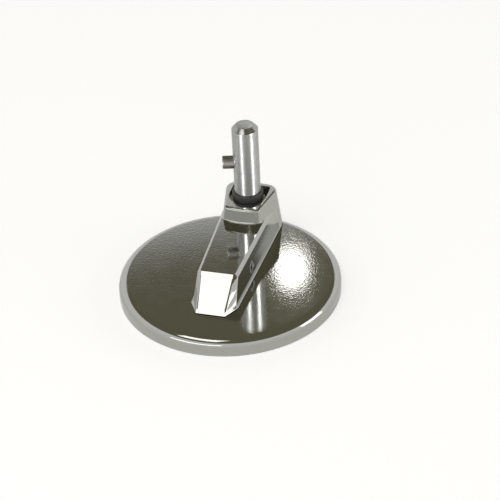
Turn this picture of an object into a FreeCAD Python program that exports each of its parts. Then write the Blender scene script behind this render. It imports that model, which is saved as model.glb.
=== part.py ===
"""Floor door holder: a cover disc on a floor plate, a swivelling cast arm and an upright bayonet spindle.

Millimetres, +Z up. The origin is the centre of the cover disc on the floor. The arm's nose points to -Y,
its head with the spindle stands at +Y, and the lock screw is in its right side, at +X.
"""
import FreeCAD, Part

import math
import os

from FreeCAD import Vector

# Floor plate and pad
plate_radius = 41.0
plate_thickness = 4.5
pad_thickness = 0.8
pad_inset = 1.0
screw_circle_diameter = 62.0
screw_count = 4
screw_first_degrees = 45.0
screw_hole_radius = 2.75
screw_head_radius = 5.5
pad_hole_margin = 0.5

# Cover disc
disc_radius = 50.0
disc_height = 8.3
disc_top_wall = 2.4
disc_skirt_wall = 2.6
rim_round = 4.0
skirt_foot_round = 0.4
centre_boss_radius = 12.0

# Dowels that stop the cover disc from turning on the plate
dowel_count = 2
dowel_radius = 2.0
dowel_circle_radius = 25.0
dowel_depth_in_plate = 4.0
dowel_depth_in_disc = 1.6
dowel_boss_wall = 2.0

# Pivot stud at the disc's centre and the screw that holds it to the plate
stud_radius = 6.0
stud_foot_depth = 1.0
stud_foot_flat = 5.0
stud_top_below_arm_top = 3.3
stud_chamfer = 0.8
stud_groove_depth = 1.4
stud_screw_radius = 3.0
stud_screw_head_radius = 6.0
stud_screw_head_sink = 0.2
stud_screw_depth_in_stud = 8.5
stud_screw_hex = 4.0
stud_screw_hex_depth = 2.0

# Arm: a body with a sloped nose, facets beside it and flaring sides
arm_height = 12.9
nose_from_rim = 17.6
nose_half_width_at_base = 6.5
nose_half_width_at_top = 7.2
nose_slope_degrees = 42.0
nose_facet_at_base = 7.2
nose_facet_at_top = 0.8
nose_corner_half_width = 9.9
side_flare_degrees = 2.6
side_draft_degrees = 3.3
top_edge_bevel = 1.3
nose_edge_round = 1.2
foot_flare = 0.8
foot_flare_height = 1.2
arm_shoulder_behind_spindle = 6.7
arm_tail_behind_spindle = 9.2
arm_tail_half_width = 8.0
arm_roof = 3.0
core_wall = 3.2
core_rib = 2.4

# Head: a rounded keystone round the spindle, sized at its top
head_rise = 6.9
head_front_from_spindle = 11.4
head_front_half_width = 8.3
head_front_bow = 1.3
head_back_from_spindle = 10.2
head_back_half_width = 12.8
head_back_bow = 1.2
head_draft_degrees = 5.5
head_front_corner_round = 1.8
head_back_corner_round = 5.5
head_top_round = 1.2
recess_half_width = 8.7
recess_back_from_spindle = 8.7
recess_corner_round = 1.5
recess_depth = 3.5
head_pocket_radius = 9.2
head_pocket_depth = 5.0

# Spindle with its cross pin
spindle_from_rim = 15.2
spindle_radius = 6.0
spindle_height_above_head = 37.3
spindle_chamfer_width = 1.8
spindle_chamfer_height = 2.0
spindle_tail_radius = 5.0
spindle_tail_foot_gap = 0.6
cross_pin_radius = 3.0
cross_pin_below_top = 19.4
cross_pin_reach = 10.8
cross_pin_short_of_far_side = 0.5
cross_pin_chamfer = 0.4
cross_pin_bore_radius = 1.7
cross_pin_slot = 1.0
cross_pin_turn_degrees = 15.0

# Bushes, collar and the parts that hold the spindle down
bush_wall = 1.55
upper_bush_flange_radius = 8.3
upper_bush_flange = 1.2
upper_bush_length = 6.0
lower_bush_flange_radius = 8.6
lower_bush_flange = 1.0
collar_radius = 7.5
collar_above_head = 3.1
collar_round = 1.0
collar_grip_gap = 0.02
washer_radius = 8.2
thrust_washer_thickness = 0.8
friction_washer_thickness = 0.8
ring_groove_depth = 0.6
ring_thickness = 1.0
ring_radius = 7.0
ring_mouth_degrees = 50.0

# Arm bearing and lock screw
stud_bush_wall = 1.0
slide_washer_thickness = 0.8
slide_washer_radius = 9.5
lock_screw_radius = 3.0
lock_screw_height = 5.1
lock_screw_sink = 0.2
lock_dog_radius = 1.8
lock_dog_length = 1.6
lock_screw_hex = 3.0
lock_screw_hex_depth = 2.2

# Clearances
running_gap = 0.05
seat_gap = 0.03
axial_gap = 0.1
loose_gap = 0.3
disc_hole_gap = 0.4

# How near an edge lies to a level or a radius to be picked for rounding
pick_margin = 0.01

# Levels and places worked out from the sizes above
plate_bottom = pad_thickness
plate_top = plate_bottom + plate_thickness
disc_top = disc_height
disc_ceiling = disc_top - disc_top_wall
dowel_bottom = plate_top - dowel_depth_in_plate
nose_base_y = nose_from_rim - disc_radius
spindle_offset = disc_radius - spindle_from_rim
head_front_y = spindle_offset - head_front_from_spindle
head_back_y = spindle_offset + head_back_from_spindle
recess_back_y = spindle_offset + recess_back_from_spindle
arm_shoulder_y = spindle_offset + arm_shoulder_behind_spindle
arm_tail_y = spindle_offset + arm_tail_behind_spindle
arm_bottom = disc_top + loose_gap
arm_top = disc_top + arm_height
bevel_bottom = arm_top - top_edge_bevel
flare_top = arm_bottom + foot_flare_height
head_top = arm_top + head_rise
recess_floor = head_top - recess_depth
pocket_ceiling = arm_bottom + head_pocket_depth
stud_top = arm_top - stud_top_below_arm_top
arm_bore_top = stud_top + loose_gap
washer_seat = disc_top + slide_washer_thickness + axial_gap
lock_screw_z = disc_top + lock_screw_height
bush_seat_radius = spindle_radius + running_gap + bush_wall
stud_bush_radius = stud_radius + running_gap + stud_bush_wall
upper_bush_bottom = recess_floor - upper_bush_length
lower_bush_top = upper_bush_bottom
shoulder_z = lower_bush_top + axial_gap
spindle_top = head_top + spindle_height_above_head
spindle_tail_bottom = disc_top + spindle_tail_foot_gap
cross_pin_z = spindle_top - cross_pin_below_top
lower_flange_bottom = pocket_ceiling - lower_bush_flange
thrust_washer_top = lower_flange_bottom - axial_gap
thrust_washer_bottom = thrust_washer_top - thrust_washer_thickness
friction_washer_top = thrust_washer_bottom - seat_gap
friction_washer_bottom = friction_washer_top - friction_washer_thickness
ring_top = friction_washer_bottom - seat_gap
ring_bottom = ring_top - ring_thickness
nose_run = 1.0 / math.tan(math.radians(nose_slope_degrees))
side_flare = math.tan(math.radians(side_flare_degrees))
side_draft = math.tan(math.radians(side_draft_degrees))
head_draft = math.tan(math.radians(head_draft_degrees))
centre = Vector(0, 0, 0)
up = Vector(0, 0, 1)
right = Vector(1, 0, 0)
spindle_axis = Vector(0, spindle_offset, 0)


def cylinder(radius, bottom, top, place=centre):
    return Part.makeCylinder(radius, top - bottom, place + up * bottom, up)


def ring(outer, inner, bottom, top, place=centre):
    return cylinder(outer, bottom, top, place).cut(cylinder(inner, bottom, top, place))


def cone(bottom_radius, top_radius, bottom, top, place=centre):
    return Part.makeCone(bottom_radius, top_radius, top - bottom, place + up * bottom, up)


def around(count, radius, first_degrees=0.0):
    """Centres of a ring of equal features about the Z axis."""
    places = []
    for i in range(count):
        angle = math.radians(first_degrees + 360.0 * i / count)
        places.append(Vector(radius * math.cos(angle), radius * math.sin(angle), 0))
    return places


def hex_socket(across_flats, depth, axis=up):
    """Hexagonal prism from the origin along an axis, to be moved into place and cut out of a screw."""
    corners = around(6, across_flats / math.sqrt(3))
    prism = Part.Face(Part.makePolygon(corners + corners[:1])).extrude(up * depth)
    prism.Placement = FreeCAD.Placement(centre, FreeCAD.Rotation(up, axis))
    return prism


def arc_edge(start, middle, end):
    return Part.Arc(start, middle, end).toShape()


def line_edge(start, end):
    return Part.LineSegment(start, end).toShape()


def mirrored(point):
    """The same point on the other side of the arm's middle plane."""
    return Vector(-point.x, point.y, point.z)


def quarter_arc(corner_centre, radius, from_degrees, to_degrees):
    """Arc in the XZ half plane, about a corner's centre."""
    points = []
    for angle in (from_degrees, (from_degrees + to_degrees) / 2, to_degrees):
        turn = math.radians(angle)
        points.append(corner_centre + Vector(radius * math.cos(turn), 0, radius * math.sin(turn)))
    return arc_edge(*points)


screw_places = around(screw_count, screw_circle_diameter / 2, screw_first_degrees)
dowel_places = around(dowel_count, dowel_circle_radius)


def make_base_pad():
    pad = cylinder(plate_radius - pad_inset, 0, pad_thickness)
    pad = pad.cut(cylinder(stud_screw_head_radius + loose_gap + pad_hole_margin, 0, pad_thickness))
    for place in screw_places:
        pad = pad.cut(cylinder(screw_hole_radius + pad_hole_margin, 0, pad_thickness, place))
    return pad


def stud_foot(gap):
    """Round foot with two flats, which keeps the stud from turning in the plate."""
    bottom = plate_top - stud_foot_depth
    half = stud_foot_flat + gap
    radius = stud_radius + gap
    flats = Part.makeBox(2 * half, 2 * radius, stud_foot_depth, Vector(-half, -radius, bottom))
    return cylinder(radius, bottom, plate_top).common(flats)


def stud_screw_head(gap):
    """Countersunk head under the plate, at 90 degrees."""
    bottom = plate_bottom + stud_screw_head_sink - gap
    radius = stud_screw_head_radius + gap
    neck = stud_screw_radius + gap
    return cone(radius, neck, bottom, bottom + radius - neck)


def make_floor_plate():
    plate = cylinder(plate_radius, plate_bottom, plate_top)
    plate = plate.cut(stud_foot(running_gap))
    plate = plate.cut(stud_screw_head(stud_screw_head_sink))
    plate = plate.cut(cylinder(stud_screw_radius + running_gap, plate_bottom, plate_top))
    sink_bottom = plate_top - (screw_head_radius - screw_hole_radius)
    for place in screw_places:
        plate = plate.cut(cylinder(screw_hole_radius, plate_bottom, plate_top, place))
        plate = plate.cut(cone(screw_hole_radius, screw_head_radius, sink_bottom, plate_top, place))
    for place in dowel_places:
        plate = plate.cut(cylinder(dowel_radius + seat_gap, dowel_bottom, plate_top, place))
    return plate


def make_pivot_stud():
    groove_half = lock_dog_radius + loose_gap
    chamfer_bottom = stud_top - stud_chamfer
    shaft = cylinder(stud_radius, plate_top, chamfer_bottom)
    tip = cone(stud_radius, stud_radius - stud_chamfer, chamfer_bottom, stud_top)
    groove = ring(
        stud_radius + loose_gap,
        stud_radius - stud_groove_depth,
        lock_screw_z - groove_half,
        lock_screw_z + groove_half,
    )
    tapped = cylinder(
        stud_screw_radius + running_gap,
        plate_top - stud_foot_depth,
        plate_top + stud_screw_depth_in_stud + loose_gap,
    )
    return shaft.fuse([tip, stud_foot(0)]).removeSplitter().cut(groove).cut(tapped)


def make_stud_screw():
    head = stud_screw_head(0)
    shank = cylinder(stud_screw_radius, head.BoundBox.ZMax, plate_top + stud_screw_depth_in_stud)
    socket = hex_socket(stud_screw_hex, stud_screw_hex_depth)
    socket.translate(up * head.BoundBox.ZMin)
    return head.fuse(shank).removeSplitter().cut(socket)


def make_cover_disc():
    """Turned shell: skirt, rounded rim and flat top, with a boss at the middle and one over each dowel."""
    hole = stud_radius + disc_hole_gap
    inner = disc_radius - disc_skirt_wall
    inner_round = rim_round - disc_top_wall
    foot_centre = Vector(disc_radius - skirt_foot_round, 0, skirt_foot_round)
    rim_centre = Vector(disc_radius - rim_round, 0, disc_top - rim_round)
    inner_centre = Vector(inner - inner_round, 0, disc_ceiling - inner_round)
    section = Part.Wire([
        line_edge(Vector(inner, 0, 0), Vector(foot_centre.x, 0, 0)),
        quarter_arc(foot_centre, skirt_foot_round, -90, 0),
        line_edge(Vector(disc_radius, 0, foot_centre.z), Vector(disc_radius, 0, rim_centre.z)),
        quarter_arc(rim_centre, rim_round, 0, 90),
        line_edge(Vector(rim_centre.x, 0, disc_top), Vector(hole, 0, disc_top)),
        line_edge(Vector(hole, 0, disc_top), Vector(hole, 0, plate_top)),
        line_edge(Vector(hole, 0, plate_top), Vector(centre_boss_radius, 0, plate_top)),
        line_edge(Vector(centre_boss_radius, 0, plate_top), Vector(centre_boss_radius, 0, disc_ceiling)),
        line_edge(Vector(centre_boss_radius, 0, disc_ceiling), Vector(inner_centre.x, 0, disc_ceiling)),
        quarter_arc(inner_centre, inner_round, 90, 0),
        line_edge(Vector(inner, 0, inner_centre.z), Vector(inner, 0, 0)),
    ])
    disc = Part.Face(section).revolve(centre, up, 360)
    dowel_hole_top = plate_top + dowel_depth_in_disc + loose_gap
    for place in dowel_places:
        disc = disc.fuse(cylinder(dowel_radius + dowel_boss_wall, plate_top, disc_ceiling, place))
        disc = disc.cut(cylinder(dowel_radius + seat_gap, plate_top, dowel_hole_top, place))
    return disc


def make_disc_dowels():
    top = plate_top + dowel_depth_in_disc
    return Part.makeCompound([cylinder(dowel_radius, dowel_bottom, top, place) for place in dowel_places])


def make_slide_washer():
    return ring(slide_washer_radius, stud_radius + disc_hole_gap, disc_top, disc_top + slide_washer_thickness)


def nose_corner(z):
    """Where the facet beside the nose meets the arm's right side at a level."""
    height = z - disc_top
    facet = nose_facet_at_base + (nose_facet_at_top - nose_facet_at_base) * height / arm_height
    return Vector(nose_corner_half_width - side_draft * height, nose_base_y + nose_run * height + facet, z)


def arm_side_x(y, z):
    """Half width of the arm's body at a place on its flaring side."""
    corner = nose_corner(z)
    return corner.x + side_flare * (y - corner.y)


def arm_outline(z, inset=0.0):
    """Outline of the arm's body at a level, with its sides drawn in for the bevel or out for the foot.

    The tail narrows inside the head, so that only the head's own back shows.
    """
    height = z - disc_top
    widening = (nose_half_width_at_top - nose_half_width_at_base) * height / arm_height
    right_side = [
        Vector(nose_half_width_at_base + widening, nose_base_y + nose_run * height, z),
        nose_corner(z) - right * inset,
        Vector(arm_side_x(arm_shoulder_y, z) - inset, arm_shoulder_y, z),
        Vector(arm_tail_half_width, arm_tail_y, z),
    ]
    left_side = [mirrored(point) for point in reversed(right_side)]
    return Part.makePolygon(right_side + left_side + right_side[:1])


def head_outline(z):
    """Outline of the head at a level: bowed front, flaring sides and bowed back, with sharp corners."""
    grow = head_draft * (head_top - z)
    front = Vector(head_front_half_width + grow, head_front_y - grow, z)
    back = Vector(head_back_half_width + grow, head_back_y + grow, z)
    return Part.Wire([
        arc_edge(mirrored(front), Vector(0, front.y - head_front_bow, z), front),
        line_edge(front, back),
        arc_edge(back, Vector(0, back.y + head_back_bow, z), mirrored(back)),
        line_edge(mirrored(back), mirrored(front)),
    ])


def ruled(lower, upper):
    return Part.makeLoft([lower, upper], True, True)


def upright_edges(solid, least_height):
    return [edge for edge in solid.Edges if edge.BoundBox.ZLength > least_height]


def rounded_head():
    """The head from the arm's underside up, with its corners and its top edge rounded."""
    head = ruled(head_outline(arm_bottom), head_outline(head_top))
    front_corners = [edge for edge in upright_edges(head, head_rise) if edge.CenterOfMass.y < spindle_offset]
    head = head.makeFillet(head_front_corner_round, front_corners)
    back_corners = [edge for edge in upright_edges(head, head_rise) if edge.CenterOfMass.y > head_back_y]
    head = head.makeFillet(head_back_corner_round, back_corners)
    top_edges = [edge for edge in head.Edges if edge.BoundBox.ZMin > head_top - pick_margin]
    return head.makeFillet(head_top_round, top_edges)


def head_recess():
    """The pocket round the spindle: a half round to the front, straight sides and a closed back."""
    side = Vector(recess_half_width, spindle_offset, recess_floor)
    corner = Vector(recess_half_width, recess_back_y, recess_floor)
    outline = Part.Wire([
        arc_edge(mirrored(side), Vector(0, spindle_offset - recess_half_width, recess_floor), side),
        line_edge(side, corner),
        line_edge(corner, mirrored(corner)),
        line_edge(mirrored(corner), mirrored(side)),
    ])
    pocket = Part.Face(outline).extrude(up * recess_depth)
    upright = upright_edges(pocket, recess_depth - pick_margin)
    back_corners = [edge for edge in upright if edge.CenterOfMass.y > recess_back_y - pick_margin]
    return pocket.makeFillet(recess_corner_round, back_corners)


def arm_cores():
    """Casting cores under the arm: a pair in front of the stud and a pair behind it, with a rib between."""
    roof = arm_top - arm_roof
    half = arm_side_x(-stud_radius, roof) - core_wall
    stud_wall = stud_bush_radius + core_wall
    nose_wall = core_wall / math.sin(math.radians(nose_slope_degrees))
    nose_end = nose_base_y + nose_run * (roof - disc_top) + nose_wall
    head_end = spindle_offset - head_pocket_radius - core_wall
    cores = []
    for start, end in ((nose_end, -stud_wall), (stud_wall, head_end)):
        for low_x in (-half, core_rib / 2):
            cores.append(Part.makeBox(half - core_rib / 2, end - start, roof, Vector(low_x, start, 0)))
    return cores


def rounded_bar():
    """The arm's body: a flared foot, drafted sides with rounded corners at the nose and a bevelled top."""
    sides = ruled(arm_outline(flare_top), arm_outline(bevel_bottom))
    bevel = ruled(arm_outline(bevel_bottom), arm_outline(arm_top, top_edge_bevel))
    bar = sides.fuse(bevel).removeSplitter()
    uprights = upright_edges(bar, bevel_bottom - flare_top - pick_margin)
    bar = bar.makeFillet(nose_edge_round, [edge for edge in uprights if edge.CenterOfMass.y < 0])
    return bar.fuse(ruled(arm_outline(arm_bottom, -foot_flare), arm_outline(flare_top)))


def lock_screw_hole():
    return Part.makeCylinder(lock_screw_radius + running_gap, disc_radius, up * lock_screw_z, right)


def make_arm_body():
    arm = rounded_bar().fuse(rounded_head()).removeSplitter()
    arm = arm.cut(head_recess())
    arm = arm.cut(cylinder(bush_seat_radius + seat_gap, pocket_ceiling, head_top, spindle_axis))
    arm = arm.cut(cylinder(head_pocket_radius, arm_bottom, pocket_ceiling, spindle_axis))
    arm = arm.cut(cylinder(stud_bush_radius + seat_gap, arm_bottom, arm_bore_top))
    arm = arm.cut(cylinder(slide_washer_radius + loose_gap, arm_bottom, washer_seat))
    return arm.cut(arm_cores()).cut(lock_screw_hole())


def make_stud_bush():
    return ring(stud_bush_radius, stud_radius + running_gap, washer_seat, arm_bore_top).cut(lock_screw_hole())


def make_lock_screw():
    """Socket set screw in the arm's right side, with a dog point that runs in the stud's groove."""
    dog_end = stud_radius - stud_groove_depth + loose_gap
    dog_root = dog_end + lock_dog_length
    outer_end = arm_side_x(0, lock_screw_z) - lock_screw_sink
    level = up * lock_screw_z
    dog = Part.makeCylinder(lock_dog_radius, lock_dog_length, level + right * dog_end, right)
    thread = Part.makeCylinder(lock_screw_radius, outer_end - dog_root, level + right * dog_root, right)
    socket = hex_socket(lock_screw_hex, lock_screw_hex_depth, right)
    socket.translate(level + right * (outer_end - lock_screw_hex_depth))
    return dog.fuse(thread).removeSplitter().cut(socket)


def make_upper_bush():
    inner = spindle_radius + running_gap
    flange_top = recess_floor + upper_bush_flange
    sleeve = ring(bush_seat_radius, inner, upper_bush_bottom, recess_floor, spindle_axis)
    flange = ring(upper_bush_flange_radius, inner, recess_floor, flange_top, spindle_axis)
    return sleeve.fuse(flange).removeSplitter()


def make_lower_bush():
    inner = spindle_tail_radius + running_gap
    sleeve = ring(bush_seat_radius, inner, pocket_ceiling, lower_bush_top, spindle_axis)
    flange = ring(lower_bush_flange_radius, inner, lower_flange_bottom, pocket_ceiling, spindle_axis)
    return sleeve.fuse(flange).removeSplitter()


def make_rubber_collar():
    bottom = recess_floor + upper_bush_flange + axial_gap
    top = head_top + collar_above_head
    collar = ring(collar_radius, spindle_radius + collar_grip_gap, bottom, top, spindle_axis)
    outer_edges = [
        edge for edge in collar.Edges
        if edge.Curve.TypeId == "Part::GeomCircle" and edge.Curve.Radius > collar_radius - pick_margin
    ]
    return collar.makeFillet(collar_round, outer_edges)


def cross_pin_axis():
    turn = math.radians(cross_pin_turn_degrees)
    return Vector(-math.cos(turn), -math.sin(turn), 0)


def make_spindle():
    """Turned bar: a chamfered top, a shoulder that rests on the lower bush and a thinner, grooved tail."""
    chamfer_bottom = spindle_top - spindle_chamfer_height
    tip_radius = spindle_radius - spindle_chamfer_width
    tail = cylinder(spindle_tail_radius, spindle_tail_bottom, shoulder_z, spindle_axis)
    shaft = cylinder(spindle_radius, shoulder_z, chamfer_bottom, spindle_axis)
    tip = cone(spindle_radius, tip_radius, chamfer_bottom, spindle_top, spindle_axis)
    groove = ring(
        spindle_tail_radius + loose_gap,
        spindle_tail_radius - ring_groove_depth,
        ring_bottom - seat_gap,
        ring_top + seat_gap,
        spindle_axis,
    )
    hole_start = spindle_axis + up * cross_pin_z - cross_pin_axis() * 2 * spindle_radius
    hole = Part.makeCylinder(cross_pin_radius + seat_gap, 4 * spindle_radius, hole_start, cross_pin_axis())
    return tail.fuse([shaft, tip]).removeSplitter().cut(groove).cut(hole)


def make_cross_pin():
    """Slotted spring pin: a rolled tube with its slit on top, pressed through the spindle."""
    axis = cross_pin_axis()
    hidden_length = spindle_radius - cross_pin_short_of_far_side
    start = spindle_axis + up * cross_pin_z - axis * hidden_length
    length = hidden_length + cross_pin_reach
    pin = Part.makeCylinder(cross_pin_radius, length, start, axis)
    ends = [edge for edge in pin.Edges if edge.Curve.TypeId == "Part::GeomCircle"]
    pin = pin.makeChamfer(cross_pin_chamfer, ends)
    pin = pin.cut(Part.makeCylinder(cross_pin_bore_radius, length, start, axis))
    slit = Part.makeBox(length, cross_pin_slot, cross_pin_radius)
    slit.translate(Vector(0, -cross_pin_slot / 2, 0))
    slit.rotate(centre, up, 180 + cross_pin_turn_degrees)
    slit.translate(start)
    return pin.cut(slit)


def make_thrust_washer():
    inner = spindle_tail_radius + running_gap
    return ring(washer_radius, inner, thrust_washer_bottom, thrust_washer_top, spindle_axis)


def make_friction_washer():
    inner = spindle_tail_radius + running_gap
    return ring(washer_radius, inner, friction_washer_bottom, friction_washer_top, spindle_axis)


def make_retaining_ring():
    """Open ring in the groove at the spindle's lower end, with its mouth to the front."""
    inner = spindle_tail_radius - ring_groove_depth + seat_gap
    body = ring(ring_radius, inner, ring_bottom, ring_top, spindle_axis)
    reach = 2 * ring_radius
    half_mouth = reach * math.tan(math.radians(ring_mouth_degrees / 2))
    tip = spindle_axis + up * ring_bottom
    mouth = Part.makePolygon([
        tip,
        tip + Vector(half_mouth, -reach, 0),
        tip + Vector(-half_mouth, -reach, 0),
        tip,
    ])
    return body.cut(Part.Face(mouth).extrude(up * ring_thickness))


pieces = {
    "base_pad": make_base_pad,
    "floor_plate": make_floor_plate,
    "pivot_stud": make_pivot_stud,
    "stud_screw": make_stud_screw,
    "disc_dowels": make_disc_dowels,
    "cover_disc": make_cover_disc,
    "slide_washer": make_slide_washer,
    "arm_body": make_arm_body,
    "stud_bush": make_stud_bush,
    "lock_screw": make_lock_screw,
    "upper_bush": make_upper_bush,
    "lower_bush": make_lower_bush,
    "rubber_collar": make_rubber_collar,
    "spindle": make_spindle,
    "cross_pin": make_cross_pin,
    "thrust_washer": make_thrust_washer,
    "friction_washer": make_friction_washer,
    "retaining_ring": make_retaining_ring,
}

os.makedirs("parts", exist_ok=True)
for name, make in pieces.items():
    shape = make()
    shape.exportStep(f"parts/{name}.step")
    box = shape.BoundBox
    print(f"{name}: {len(shape.Solids)} solid, {shape.Volume:.1f} mm3, valid {shape.isValid()}")
    print(f"  z {box.ZMin:.2f} to {box.ZMax:.2f}, x {box.XMin:.2f} to {box.XMax:.2f}")
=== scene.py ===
import bmesh
import bpy
import math
from mathutils import Matrix, Vector


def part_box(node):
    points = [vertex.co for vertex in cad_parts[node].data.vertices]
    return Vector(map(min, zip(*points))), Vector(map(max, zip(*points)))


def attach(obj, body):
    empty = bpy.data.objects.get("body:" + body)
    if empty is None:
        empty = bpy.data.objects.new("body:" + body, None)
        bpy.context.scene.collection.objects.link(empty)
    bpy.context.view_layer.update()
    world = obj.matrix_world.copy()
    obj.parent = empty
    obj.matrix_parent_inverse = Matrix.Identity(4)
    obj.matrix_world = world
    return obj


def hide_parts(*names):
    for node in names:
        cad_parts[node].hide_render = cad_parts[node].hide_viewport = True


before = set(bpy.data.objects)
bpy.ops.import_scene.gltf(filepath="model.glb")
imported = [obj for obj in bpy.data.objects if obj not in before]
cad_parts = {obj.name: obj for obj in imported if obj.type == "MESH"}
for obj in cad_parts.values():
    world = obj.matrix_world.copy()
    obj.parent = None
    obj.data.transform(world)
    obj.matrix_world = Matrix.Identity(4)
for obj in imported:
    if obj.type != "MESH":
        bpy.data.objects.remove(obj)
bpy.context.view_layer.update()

mm = 0.001
world = bpy.context.scene.world or bpy.data.worlds.new("studio")
bpy.context.scene.world = world
bpy.context.scene.view_settings.view_transform = "Standard"


def toLinear(hexColour):
    channels = [int(hexColour[i:i + 2], 16) / 255 for i in (0, 2, 4)]
    return [c / 12.92 if c <= 0.04045 else ((c + 0.055) / 1.055) ** 2.4 for c in channels] + [1]


def addNode(tree, kind, settings=None, links=None):
    # settings go to the node's own fields or to its inputs, links name the input and give the socket
    node = tree.nodes.new(kind)
    for key, value in (settings or {}).items():
        if isinstance(key, str) and key in node.bl_rna.properties:
            setattr(node, key, value)
        else:
            node.inputs[key].default_value = value
    for key, socket in (links or {}).items():
        tree.links.new(socket, node.inputs[key])
    return node


def roundedProfile(corners, segments=6):
    # corners are (radius, height, round) in mm; each one turns into an arc that meets both its neighbours
    points = []
    for i, (r, z, size) in enumerate(corners):
        corner = Vector((r, z))
        if size == 0:
            points.append(corner)
            continue
        before = (Vector(corners[i - 1][:2]) - corner).normalized()
        after = (Vector(corners[(i + 1) % len(corners)][:2]) - corner).normalized()
        half = before.angle(after) / 2
        middle = corner + (before + after).normalized() * size / math.sin(half)
        first = corner + before * size / math.tan(half) - middle
        turn = first.angle_signed(corner + after * size / math.tan(half) - middle)
        for k in range(segments + 1):
            points.append(middle + Matrix.Rotation(-turn * k / segments, 2) @ first)
    return points


def smoothBelow(bm, degrees):
    for face in bm.faces:
        face.smooth = True
    for edge in bm.edges:
        edge.smooth = edge.calc_face_angle(0) < math.radians(degrees)


def finishPiece(name, bm, node, body, material, endMaterial=None, endFrom=0.35):
    # faces whose normal rises past endFrom are the bar's faced end and its chamfer
    for face in bm.faces:
        face.material_index = int(endMaterial is not None and face.normal.z > endFrom)
    mesh = bpy.data.meshes.new(name)
    bm.to_mesh(mesh)
    bm.free()
    piece = bpy.data.objects.new(name, mesh)
    bpy.context.scene.collection.objects.link(piece)
    mesh.materials.append(material)
    if endMaterial:
        mesh.materials.append(endMaterial)
    flat = piece.modifiers.new("flat faces stay flat", "WEIGHTED_NORMAL")
    flat.keep_sharp = True
    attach(piece, body)
    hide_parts(node)
    return piece


def turned(bm, corners, place=(0, 0), steps=160, closed=True, segments=6):
    # a lathe: the rounded profile is spun once round an upright line
    points = roundedProfile(corners, segments)
    verts = [bm.verts.new(((p.x + place[0]) * mm, place[1] * mm, p.y * mm)) for p in points]
    edges = [bm.edges.new(pair) for pair in zip(verts, verts[1:] + verts[:1] if closed else verts[1:])]
    axisPoint = (place[0] * mm, place[1] * mm, 0)
    bmesh.ops.spin(bm, geom=verts + edges, cent=axisPoint, axis=(0, 0, 1), angle=math.tau,
                   steps=steps, use_merge=True)
    bmesh.ops.remove_doubles(bm, verts=bm.verts, dist=1e-7)
    bmesh.ops.recalc_face_normals(bm, faces=bm.faces)


def joinedCopy(node, flatWithin=0.3):
    # the CAD mesh is loose triangles, so a copy is merged and its flat faces are made whole
    bm = bmesh.new()
    bm.from_mesh(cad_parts[node].data)
    bmesh.ops.remove_doubles(bm, verts=bm.verts, dist=2e-6)
    bmesh.ops.dissolve_limit(bm, angle_limit=math.radians(flatWithin), verts=bm.verts, edges=bm.edges)
    return bm


def newMaterial(name):
    material = bpy.data.materials.new(name)
    material.use_nodes = True
    tree = material.node_tree
    where = addNode(tree, "ShaderNodeTexCoord").outputs["Object"]
    return material, tree, tree.nodes["Principled BSDF"], where


def grain(tree, where, sizeMm, detail=2, stretch=(1, 1, 1)):
    # noise with cells of a real size
    scaled = addNode(tree, "ShaderNodeMapping", {"Scale": stretch}, {"Vector": where})
    return addNode(tree, "ShaderNodeTexNoise", {"Scale": 1 / (sizeMm * mm), "Detail": detail},
                   {"Vector": scaled.outputs["Vector"]}).outputs["Fac"]


def spread(tree, fac, low, high):
    # most of a noise lies between 0.3 and 0.7
    limits = {"From Min": 0.3, "From Max": 0.7, "To Min": low, "To Max": high}
    return addNode(tree, "ShaderNodeMapRange", limits, {"Value": fac}).outputs["Result"]


def twoTone(tree, shader, fac, dark, light):
    ramp = addNode(tree, "ShaderNodeValToRGB", links={"Fac": fac})
    ramp.color_ramp.elements[0].position = 0.35
    ramp.color_ramp.elements[0].color = toLinear(dark)
    ramp.color_ramp.elements[1].position = 0.65
    ramp.color_ramp.elements[1].color = toLinear(light)
    tree.links.new(ramp.outputs["Color"], shader.inputs["Base Color"])


def bumped(tree, shader, height, depthMm):
    bump = addNode(tree, "ShaderNodeBump", {"Distance": depthMm * mm}, {"Height": height})
    tree.links.new(bump.outputs["Normal"], shader.inputs["Normal"])


def nickelLacquer(name):
    # metallic lacquer over zinc: a glossy grey mirror whose images turn ragged in its fine orange peel
    material, tree, shader, where = newMaterial(name)
    look = {"dark": "b8b8b4", "light": "c4c4bf", "flakeMm": 0.12, "peelMm": 0.9, "peelDepthMm": 0.011,
            "cloudMm": 6.0, "smooth": 0.05, "rough": 0.075}
    shader.inputs["Metallic"].default_value = 1
    twoTone(tree, shader, grain(tree, where, look["flakeMm"]), look["dark"], look["light"])
    cloudy = grain(tree, where, look["cloudMm"])
    tree.links.new(spread(tree, cloudy, look["smooth"], look["rough"]), shader.inputs["Roughness"])
    bumped(tree, shader, grain(tree, where, look["peelMm"]), look["peelDepthMm"])
    return material


def turnedMetal(name, dark, light, rough, ringMm=0.25, depthMm=0.0006, drawn=0.9):
    # lathe-turned bar: the fine rings round it draw every highlight out along its length
    material, tree, shader, where = newMaterial(name)
    shader.inputs["Metallic"].default_value = 1
    shader.inputs["Anisotropic"].default_value = drawn
    along = addNode(tree, "ShaderNodeVectorTransform", {"vector_type": "VECTOR", "Vector": (0, 0, 1)})
    tree.links.new(along.outputs["Vector"], shader.inputs["Tangent"])
    twoTone(tree, shader, grain(tree, where, 2.5), dark, light)
    uneven = spread(tree, grain(tree, where, 1.5), rough * 0.95, rough * 1.05)
    tree.links.new(uneven, shader.inputs["Roughness"])
    bumped(tree, shader, grain(tree, where, ringMm, stretch=(0.02, 0.02, 1)), depthMm)
    return material


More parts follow.
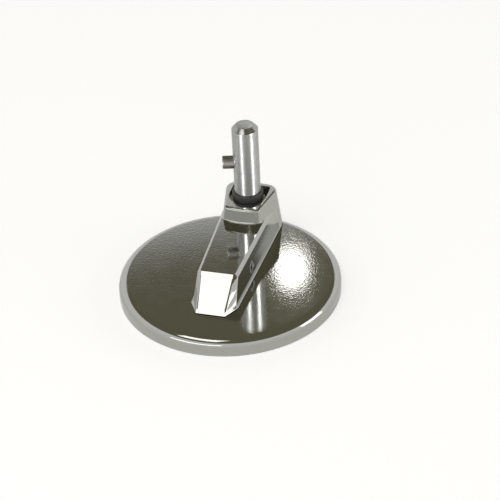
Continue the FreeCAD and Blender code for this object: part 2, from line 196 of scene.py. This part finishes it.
def plainPlastic(name, dark, light, rough, ior, grainMm, depthMm):
    # moulded or machined plastic and rubber: soft sheen over a faint grain
    material, tree, shader, where = newMaterial(name)
    shader.inputs["IOR"].default_value = ior
    twoTone(tree, shader, grain(tree, where, grainMm * 4), dark, light)
    uneven = spread(tree, grain(tree, where, grainMm * 2), rough * 0.9, rough * 1.1)
    tree.links.new(uneven, shader.inputs["Roughness"])
    bumped(tree, shader, grain(tree, where, grainMm), depthMm)
    return material


lacquer = nickelLacquer("nickel_metallic_lacquer")
# nickel plate over a turned bar: long satin streaks up the spindle
spindleMetal = turnedMetal("turned_plated_steel", "b9bab9", "c4c5c4", 0.34)
# the faced end of that bar has no drawn grain, so it shines evenly; its darker colour is painted shade on the
# top and the chamfer
facedMetalShaded = turnedMetal("faced_plated_steel_painted_shade", "a8a8a5", "b4b4b1", 0.2, drawn=0)
# rolled and oiled spring strip: a darker and tighter shine
springSteel = turnedMetal("oiled_spring_steel", "a9a7a3", "b8b6b2", 0.26)
# bright turned bar, as it left the lathe
studSteel = turnedMetal("turned_bright_steel", "b0b0b0", "c4c4c4", 0.28)
# thin zinc plate: pale and slightly blue
zincPlate = turnedMetal("zinc_plated_steel", "b3b6bd", "c8cbd2", 0.3)
# black oxide: a dark skin that still shines like steel
blackOxide = turnedMetal("black_oxide_steel", "3a3a3c", "48484a", 0.32)
# moulded nitrile: dark grey with a dull, soft sheen
rubber = plainPlastic("black_nitrile_rubber", "3f3f40", "4a4a4b", 0.45, 1.52, 0.3, 0.004)
# machined acetal: waxy ivory with a soft shine
ivoryAcetal = plainPlastic("ivory_acetal", "d6d0bd", "e2dccb", 0.38, 1.48, 0.4, 0.002)
# closed-cell foam: a pitted, dark grey skin, almost without shine
foam = plainPlastic("closed_cell_foam", "2f2f30", "3b3b3c", 0.85, 1.5, 0.5, 0.03)
print("materials made")


discSize = {"hole": 6.4, "bossRadius": 12.0, "wall": 2.6, "topWall": 2.4, "rimRound": 4.0, "footRound": 0.4,
            "dowelRadius": 2.03, "dowelAt": 25.0, "dowelBoss": 4.0, "bossInto": 0.3}
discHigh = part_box("cover_disc")[1]
discRadius, discTop = discHigh.x / mm, discHigh.z / mm
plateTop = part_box("floor_plate")[1].z / mm
ceiling = discTop - discSize["topWall"]
bossTop = ceiling + discSize["bossInto"]
inner = discRadius - discSize["wall"]
bm = bmesh.new()
turned(bm, [
    (inner, 0, 0.15),
    (discRadius, 0, discSize["footRound"]),
    (discRadius, discTop, discSize["rimRound"]),
    (discSize["hole"], discTop, 0.2),
    (discSize["hole"], plateTop, 0.15),
    (discSize["bossRadius"], plateTop, 0.15),
    (discSize["bossRadius"], ceiling, 0.2),
    (inner, ceiling, discSize["rimRound"] - discSize["topWall"]),
], steps=256, segments=12)
for side in (-1, 1):  # a boss over each dowel, under the top
    boss = bmesh.new()
    turned(boss, [
        (discSize["dowelRadius"], plateTop, 0.1),
        (discSize["dowelBoss"], plateTop, 0.2),
        (discSize["dowelBoss"], bossTop, 0),
        (discSize["dowelRadius"], bossTop, 0),
    ], (side * discSize["dowelAt"], 0), steps=48)
    part = bpy.data.meshes.new("boss")
    boss.to_mesh(part)
    boss.free()
    bm.from_mesh(part)
    bpy.data.meshes.remove(part)
smoothBelow(bm, 35)
finishPiece("disc_shell", bm, "cover_disc", "base", lacquer)
print("disc made")


# top is the height of the bar's flat top, and the head stands behind headFrom
armSize = {"top": 21.2, "headFrom": 20, "headFootRound": 0.8, "near": 0.02, "edgeRound": 0.3, "sharpFrom": 35}
bm = joinedCopy("arm_body")
headFoot = [e for e in bm.edges if e.is_manifold and not e.is_convex
            and all(abs(v.co.z / mm - armSize["top"]) < armSize["near"]
                    and v.co.y / mm > armSize["headFrom"] for v in e.verts)]
bmesh.ops.bevel(bm, geom=headFoot, offset=armSize["headFootRound"] * mm, offset_type="OFFSET", segments=4,
                affect="EDGES", profile=0.5, material=-1, clamp_overlap=True)
sharp = [e for e in bm.edges
         if e.is_manifold and e.is_convex and e.calc_face_angle(0) > math.radians(armSize["sharpFrom"])]
bmesh.ops.bevel(bm, geom=sharp, offset=armSize["edgeRound"] * mm, offset_type="OFFSET", segments=2,
                affect="EDGES", profile=0.5, material=-1, clamp_overlap=True)
smoothBelow(bm, 40)
finishPiece("arm_casting", bm, "arm_body", "arm", lacquer)
print("arm made")


spindleLow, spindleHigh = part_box("spindle")
spindleAt = (0, (spindleLow.y + spindleHigh.y) / 2 / mm)
spindleSize = {"radius": 6.0, "tail": 5.0, "grooveDepth": 0.6, "chamferWide": 1.8, "chamferHigh": 2.0,
               "shoulderGap": 0.1, "ringGap": 0.03}
spindleTop = spindleHigh.z / mm
tailFoot = spindleLow.z / mm
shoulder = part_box("lower_bush")[1].z / mm + spindleSize["shoulderGap"]
ringLow, ringHigh = [corner.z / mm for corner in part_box("retaining_ring")]
grooveLow, grooveHigh = ringLow - spindleSize["ringGap"], ringHigh + spindleSize["ringGap"]
tail, root = spindleSize["tail"], spindleSize["tail"] - spindleSize["grooveDepth"]
bm = bmesh.new()
turned(bm, [
    (0, tailFoot, 0),
    (tail, tailFoot, 0.3),
    (tail, grooveLow, 0),
    (root, grooveLow, 0),
    (root, grooveHigh, 0),
    (tail, grooveHigh, 0),
    (tail, shoulder, 0),
    (spindleSize["radius"], shoulder, 0.2),
    (spindleSize["radius"], spindleTop - spindleSize["chamferHigh"], 0.3),
    (spindleSize["radius"] - spindleSize["chamferWide"], spindleTop, 0.15),
    (0, spindleTop, 0),
], spindleAt, steps=128, closed=False)
smoothBelow(bm, 35)
# the bar's top and chamfer take the darker copy of its metal: painted shade
finishPiece("spindle_bar", bm, "spindle", "spindle", spindleMetal, facedMetalShaded)

pinSize = {"radius": 3.0, "bore": 1.7, "reach": 10.8, "hidden": 5.5, "slit": 1.0, "turn": 15, "below": 19.4}
slitAngle = 2 * math.asin(pinSize["slit"] / 2 / pinSize["radius"])
profile = roundedProfile([
    (pinSize["bore"], -pinSize["hidden"], 0.1),
    (pinSize["radius"], -pinSize["hidden"], 0.4),
    (pinSize["radius"], pinSize["reach"], 0.45),
    (pinSize["bore"], pinSize["reach"], 0.15),
])
bm = bmesh.new()
section = bm.faces.new([bm.verts.new((p.x * mm, 0, p.y * mm)) for p in profile])
bmesh.ops.rotate(bm, verts=bm.verts, cent=(0, 0, 0), matrix=Matrix.Rotation(slitAngle / 2, 3, "Z"))
bmesh.ops.spin(bm, geom=[section], cent=(0, 0, 0), axis=(0, 0, 1), angle=math.tau - slitAngle, steps=64)
bmesh.ops.recalc_face_normals(bm, faces=bm.faces)
# stand the rolled tube along its own axis, with the slit on top
pinTurn = Matrix.Rotation(math.radians(pinSize["turn"]), 4, "Z")
pinPlace = Matrix.Translation((0, spindleAt[1] * mm, (spindleTop - pinSize["below"]) * mm))
layDown = Matrix.Rotation(math.radians(-90), 4, "Y")
bmesh.ops.transform(bm, verts=bm.verts, matrix=pinPlace @ pinTurn @ layDown)
smoothBelow(bm, 35)
finishPiece("spring_pin", bm, "cross_pin", "spindle", springSteel)

# the photo's collar is a little slimmer than the solid
collarSize = {"inner": 6.02, "slimmer": 0.4, "round": 1.0, "footRound": 0.15, "lipRound": 0.2}
collarLow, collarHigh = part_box("rubber_collar")
collarRadius = (collarHigh.x - collarLow.x) / 2 / mm - collarSize["slimmer"]
bm = bmesh.new()
turned(bm, [
    (collarSize["inner"], collarLow.z / mm, collarSize["footRound"]),
    (collarRadius, collarLow.z / mm, collarSize["round"]),
    (collarRadius, collarHigh.z / mm, collarSize["round"]),
    (collarSize["inner"], collarHigh.z / mm, collarSize["lipRound"]),
], spindleAt, steps=128)
smoothBelow(bm, 35)
finishPiece("collar_ring", bm, "rubber_collar", "spindle", rubber)

bushLow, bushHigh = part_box("upper_bush")
bushSize = {"inner": 6.05, "sleeve": 7.6, "flange": 8.3, "flangeHigh": 1.2}
flangeFoot = bushHigh.z / mm - bushSize["flangeHigh"]
bm = bmesh.new()
turned(bm, [
    (bushSize["inner"], bushLow.z / mm, 0.2),
    (bushSize["sleeve"], bushLow.z / mm, 0.2),
    (bushSize["sleeve"], flangeFoot, 0),
    (bushSize["flange"], flangeFoot, 0.15),
    (bushSize["flange"], bushHigh.z / mm, 0.3),
    (bushSize["inner"], bushHigh.z / mm, 0.2),
], spindleAt, steps=128)
smoothBelow(bm, 35)
finishPiece("flanged_bush", bm, "upper_bush", "arm", ivoryAcetal)

screwSize = {"rimRound": 0.15, "sharpFrom": 40}
bm = joinedCopy("lock_screw")
rims = [e for e in bm.edges
        if e.is_manifold and e.is_convex and e.calc_face_angle(0) > math.radians(screwSize["sharpFrom"])]
bmesh.ops.bevel(bm, geom=rims, offset=screwSize["rimRound"] * mm, offset_type="OFFSET", segments=3,
                affect="EDGES", profile=0.5, material=-1, clamp_overlap=True)
smoothBelow(bm, 35)
finishPiece("lock_screw_turned", bm, "lock_screw", "lock_screw", zincPlate)
print("spindle, pin, collar, bush and screw made")


# these stay as the CAD made them, out of sight
hiddenPieces = {
    "base_pad": foam, "floor_plate": zincPlate, "pivot_stud": studSteel, "stud_screw": blackOxide,
    "disc_dowels": studSteel, "slide_washer": ivoryAcetal, "stud_bush": ivoryAcetal,
    "lower_bush": ivoryAcetal, "thrust_washer": studSteel, "friction_washer": ivoryAcetal,
    "retaining_ring": springSteel,
}
for node, material in hiddenPieces.items():
    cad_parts[node].data.materials.clear()
    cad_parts[node].data.materials.append(material)
print("hidden pieces coloured")


# pale, matt paper that the camera sees a touch lighter, and a mirror part of the way
paperLook = {"size": 6, "colour": "efefef", "rough": 0.9, "specular": 0.1, "glow": 0.6, "mirrored": 0.55}
floorBm = bmesh.new()
bmesh.ops.create_grid(floorBm, x_segments=1, y_segments=1, size=paperLook["size"])
floorMesh = bpy.data.meshes.new("floor")
floorBm.to_mesh(floorMesh)
floorBm.free()
floor = bpy.data.objects.new("floor", floorMesh)
bpy.context.scene.collection.objects.link(floor)
paper = bpy.data.materials.new("white_paper_sweep")
paper.use_nodes = True
tree = paper.node_tree
matt = tree.nodes["Principled BSDF"]
matt.inputs["Base Color"].default_value = toLinear(paperLook["colour"])
matt.inputs["Roughness"].default_value = paperLook["rough"]
matt.inputs["Specular IOR Level"].default_value = paperLook["specular"]
glow = addNode(tree, "ShaderNodeEmission", {"Color": (1, 1, 1, 1), "Strength": paperLook["glow"]})
lifted = addNode(tree, "ShaderNodeAddShader", links={0: matt.outputs["BSDF"], 1: glow.outputs["Emission"]})
seen = addNode(tree, "ShaderNodeLightPath")
looked = addNode(tree, "ShaderNodeMath", {"operation": "MULTIPLY_ADD", 1: paperLook["mirrored"]},
                 {0: seen.outputs["Is Glossy Ray"], 2: seen.outputs["Is Camera Ray"]})
pick = addNode(tree, "ShaderNodeMixShader", links={
    "Fac": looked.outputs["Value"], 1: matt.outputs["BSDF"], 2: lifted.outputs["Shader"]})
tree.links.new(pick.outputs["Shader"], tree.nodes["Material Output"].inputs["Surface"])
floorMesh.materials.append(paper)

# a white wall behind, its top edge a little lower to the right, and a dark olive room over it:
# the disc mirrors both, the far part the wall and the near part the room
room = {"tilt": 0.08, "wall": 0.8, "wallTop": 0.522, "edge": 0.34, "edgeAt": 0.54, "roomFrom": 0.55,
        "room": "6c6956"}
world.use_nodes = True
tree = world.node_tree
tree.nodes.clear()
direction = addNode(tree, "ShaderNodeTexCoord").outputs["Generated"]
height = addNode(tree, "ShaderNodeVectorMath", {"operation": "DOT_PRODUCT", 1: (room["tilt"], 0, 1)},
                 {0: direction})
ramp = addNode(tree, "ShaderNodeValToRGB", links={"Fac": height.outputs["Value"]})
stops = ramp.color_ramp.elements
stops[0].position = room["wallTop"]
stops[0].color = [room["wall"]] * 3 + [1]
stops[1].position = room["roomFrom"]
stops[1].color = toLinear(room["room"])
stops.new(room["edgeAt"]).color = [room["edge"]] * 3 + [1]
around = addNode(tree, "ShaderNodeBackground", links={"Color": ramp.outputs["Color"]})
behind = addNode(tree, "ShaderNodeBackground", {"Color": (1, 1, 1, 1), "Strength": 1.0})
pick = addNode(tree, "ShaderNodeMixShader", links={
    "Fac": addNode(tree, "ShaderNodeLightPath").outputs["Is Camera Ray"],
    1: around.outputs["Background"], 2: behind.outputs["Background"]})
addNode(tree, "ShaderNodeOutputWorld", links={"Surface": pick.outputs["Shader"]})

barLit = bpy.data.collections.new("lit_by_the_strips")
for name in ("spindle_bar", "spring_pin"):
    barLit.objects.link(bpy.data.objects[name])

# the box over the front whitens the nose, the upright strips draw the streaks down the spindle
lamps = {
    "front_softbox": {"at": (-0.2, -0.4, 0.79), "wide": 0.5, "high": 0.3, "watts": 0.9},
    "front_card": {"at": (-0.3, -0.95, 0.12), "wide": 0.9, "high": 0.16, "watts": 0.7},
    "right_card": {"at": (0.85, 0.1, 0.2), "wide": 0.4, "high": 0.3, "watts": 0.7},
    "small_lamp": {"at": (-0.182, 0.796, 0.587), "wide": 0.032, "high": 0.032, "watts": 0.014, "round": True},
    "left_strip": {"at": (-0.27, -0.8, 0.1), "wide": 0.17, "high": 0.8, "watts": 10.0, "barOnly": True},
    "right_strip": {"at": (0.8, -0.28, 0.1), "wide": 0.2, "high": 0.8, "watts": 12.0, "barOnly": True},
}
for name, lamp in lamps.items():
    light = bpy.data.lights.new(name, "AREA")
    light.shape = "DISK" if lamp.get("round") else "RECTANGLE"
    light.size = lamp["wide"]
    light.size_y = lamp["high"]
    light.energy = lamp["watts"]
    holder = bpy.data.objects.new(name, light)
    bpy.context.scene.collection.objects.link(holder)
    holder.location = lamp["at"]
    holder.rotation_euler = (-Vector(lamp["at"])).to_track_quat("-Z", "Y").to_euler()
    if lamp.get("barOnly"):
        holder.light_linking.receiver_collection = barLit
print("light made")


# the photo's camera, fitted to the disc and the spindle: where it stands and which way its sides point
cameraSize = {"lens": 127.63, "sensor": 36, "nearest": 0.01, "at": (0.1931555, -0.6182737, 0.4698960)}
across = Vector((0.96562526, 0.25677652, -0.04041883))
upward = Vector((-0.11456005, 0.55997275, 0.82055257))
back = Vector((0.23333208, -0.7877159, 0.57014016))
camera = bpy.data.objects.new("camera", bpy.data.cameras.new("camera"))
bpy.context.scene.collection.objects.link(camera)
camera.data.lens = cameraSize["lens"]
camera.data.sensor_width = cameraSize["sensor"]
camera.data.clip_start = cameraSize["nearest"]
turn = Matrix((across, upward, back)).transposed().to_4x4()
camera.matrix_world = Matrix.Translation(cameraSize["at"]) @ turn
bpy.context.scene.camera = camera
print("camera placed")
